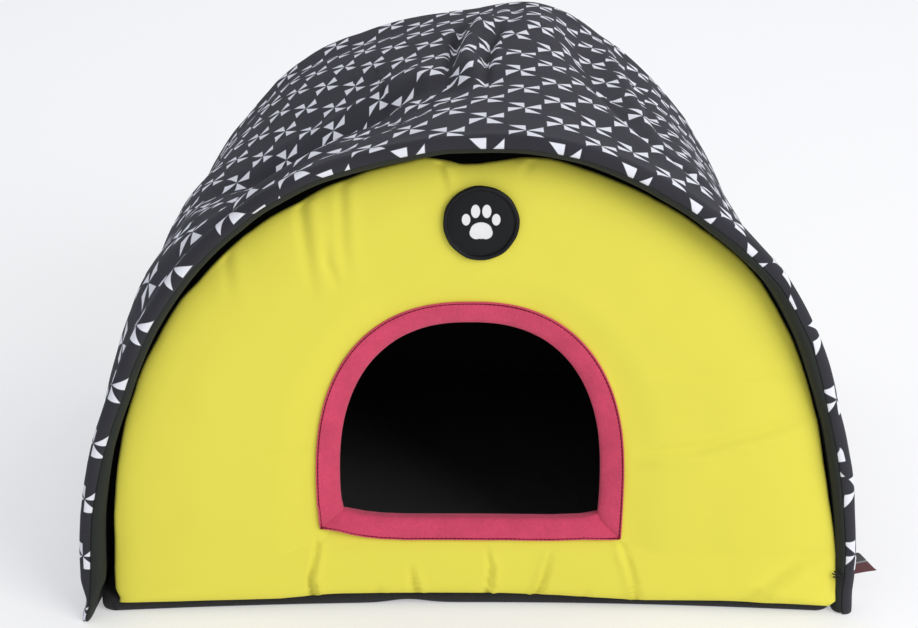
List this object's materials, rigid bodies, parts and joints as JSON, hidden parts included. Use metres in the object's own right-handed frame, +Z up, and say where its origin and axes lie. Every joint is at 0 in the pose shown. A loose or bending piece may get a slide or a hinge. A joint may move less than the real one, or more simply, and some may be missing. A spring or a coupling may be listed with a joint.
{
  "type": "cat hut",
  "caption": "Padded arched cat hut: a printed tunnel canopy over a floor pad, a front panel set in behind its hem with a bound arched doorway and a round patch, and a closed back.",
  "frame": {"origin": "on the floor, under the middle of the hut's box", "axes": "+Z up, the doorway looks towards -Y, +X to the right of someone facing the doorway"},
  "size_m": [0.58, 0.462, 0.3705],
  "materials": {
    "printed_cotton": "charcoal woven cotton with a white pinwheel print, matte",
    "dark_lining": "near-black brushed lining, matte",
    "yellow_cloth": "fine plain-weave yellow cloth, padded, matte",
    "binding_felt": "raspberry felt, stitched near its outer edge",
    "patch_leather": "black smooth leather-like disc with a raised rim",
    "pad_cloth": "black tightly woven cloth",
    "label_cloth": "folded charcoal and burgundy woven label, bare"
  },
  "bodies": {
    "root": {"canopy": "printed_cotton", "canopy_lining": "dark_lining", "front_panel": "yellow_cloth", "door_binding_arch": "binding_felt", "door_binding_sill": "binding_felt", "badge": "patch_leather", "base_pad": "pad_cloth", "back_panel": "yellow_cloth", "side_label": "label_cloth"}
  },
  "joints": []
}
